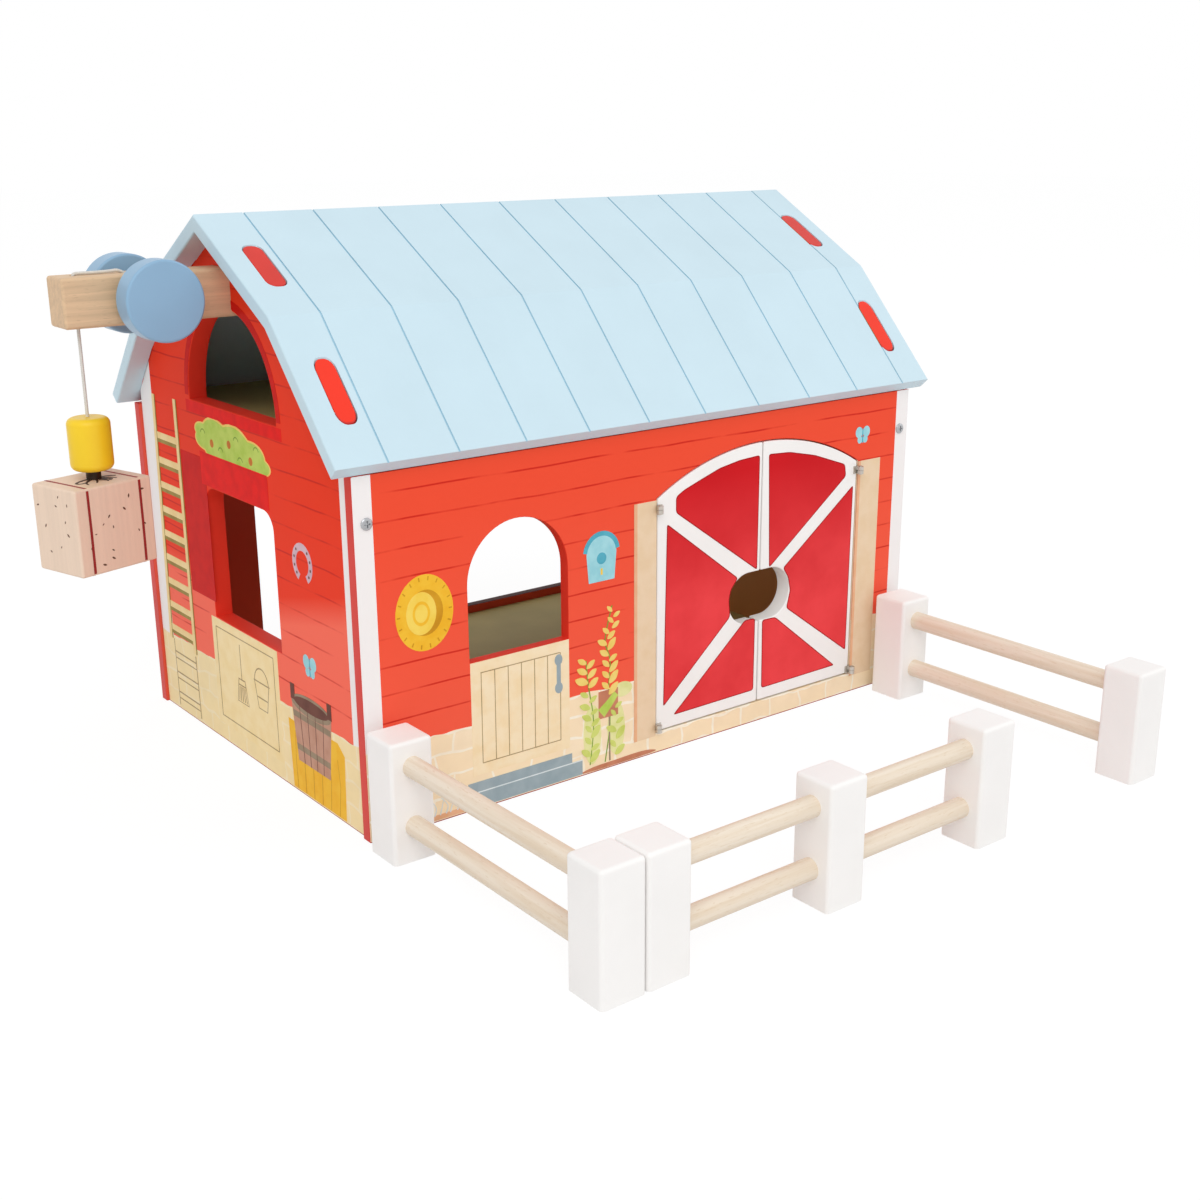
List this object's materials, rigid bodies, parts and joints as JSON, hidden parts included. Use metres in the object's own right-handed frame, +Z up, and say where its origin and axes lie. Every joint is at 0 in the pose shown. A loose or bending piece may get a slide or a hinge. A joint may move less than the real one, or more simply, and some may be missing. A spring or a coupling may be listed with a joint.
{
  "type": "toy barn",
  "caption": "Wooden toy barn with a lift-off gambrel roof, hinged arched doors, hay hoist with magnetic bale and loose rail fences.",
  "frame": {"origin": "middle of the barn's footprint on the ground, under the floor's middle batten", "axes": "+X along the front wall away from the hoist, +Y from front to rear, +Z up"},
  "size_m": [0.5684, 0.5271, 0.3435],
  "materials": {
    "wall_red": "painted satin",
    "roof_blue": "painted satin",
    "door_red": "painted gloss",
    "floor_green": "painted matte",
    "bare_wood": "bare",
    "disc_blue": "painted satin",
    "bead_yellow": "painted gloss",
    "fence_white": "painted satin",
    "bale_wood": "printed matte",
    "cord": "matte",
    "steel": "satin",
    "magnet": "satin"
  },
  "bodies": {
    "barn": {"front_wall_panel": "wall_red", "rear_wall_panel": "wall_red", "left_gable_panel": "wall_red", "right_gable_panel": "wall_red", "floor_board": "floor_green", "floor_batten_front": "bare_wood", "floor_batten_middle": "bare_wood", "floor_batten_rear": "bare_wood", "loft_floor_board": "floor_green", "loft_cleat_left": "bare_wood", "loft_cleat_right": "bare_wood", "wall_screws": "steel", "door_hinge_frame_plates": "steel", "door_hinge_pins": "steel", "hoist_beam": "bare_wood", "hoist_cord_upper": "cord"},
    "roof": {"roof_upper_front": "roof_blue", "roof_upper_rear": "roof_blue", "roof_lower_front": "roof_blue", "roof_lower_rear": "roof_blue"},
    "left_leaf": {"left_door": "door_red", "left_door_hinge_plates": "steel"},
    "right_leaf": {"right_door": "door_red", "right_door_hinge_plates": "steel"},
    "hoist_drum": {"hoist_axle": "bare_wood", "hoist_disc_front": "disc_blue", "hoist_disc_rear": "disc_blue", "cord_winding": "cord"},
    "hoist_hook": {"hoist_cord": "cord", "hoist_bead": "bead_yellow", "bead_magnet": "magnet"},
    "bale": {"hay_bale": "bale_wood", "bale_steel_disc": "steel"},
    "left_fence": {"left_fence_post_near": "fence_white", "left_fence_post_far": "fence_white", "left_fence_rail_bottom": "bare_wood", "left_fence_rail_top": "bare_wood"},
    "front_fence": {"front_fence_post_left": "fence_white", "front_fence_post_middle": "fence_white", "front_fence_post_right": "fence_white", "front_fence_left_rail_bottom": "bare_wood", "front_fence_left_rail_top": "bare_wood", "front_fence_right_rail_bottom": "bare_wood", "front_fence_right_rail_top": "bare_wood"},
    "right_fence": {"right_fence_post_near": "fence_white", "right_fence_post_far": "fence_white", "right_fence_rail_bottom": "bare_wood", "right_fence_rail_top": "bare_wood"}
  },
  "joints": [
    {"name": "roof_lift", "type": "slide", "parent": "barn", "child": "roof", "axis": [0, 0, 1], "range_m": [0, 0.15]},
    {"name": "left_door_swing", "type": "hinge", "parent": "barn", "child": "left_leaf", "pos_m": [-0.0082, -0.152, 0.1], "axis": [0, 0, -1], "range_deg": [0, 100]},
    {"name": "right_door_swing", "type": "hinge", "parent": "barn", "child": "right_leaf", "pos_m": [0.1712, -0.152, 0.1], "axis": [0, 0, 1], "range_deg": [0, 100]},
    {"name": "bead_lift", "type": "slide", "parent": "barn", "child": "hoist_hook", "axis": [0, 0, 1], "range_m": [-0.148, 0.045], "deforming": ["hoist_cord"]},
    {"name": "drum_spin", "type": "hinge", "parent": "barn", "child": "hoist_drum", "pos_m": [-0.266, 0, 0.29946], "axis": [0, 1, 0], "range_deg": [-1700, 520]},
    {"name": "bale_pull_off", "type": "slide", "parent": "hoist_hook", "child": "bale", "axis": [-1, 0, 0], "range_m": [0, 0.07]},
    {"name": "left_fence_lift", "type": "slide", "parent": "barn", "child": "left_fence", "axis": [0, 0, 1], "range_m": [0, 0.06]},
    {"name": "front_fence_lift", "type": "slide", "parent": "barn", "child": "front_fence", "axis": [0, 0, 1], "range_m": [0, 0.06]},
    {"name": "right_fence_lift", "type": "slide", "parent": "barn", "child": "right_fence", "axis": [0, 0, 1], "range_m": [0, 0.06]}
  ],
  "couplings": [
    {"joint": "drum_spin", "follows": "bead_lift", "rad_per_m": 200}
  ]
}
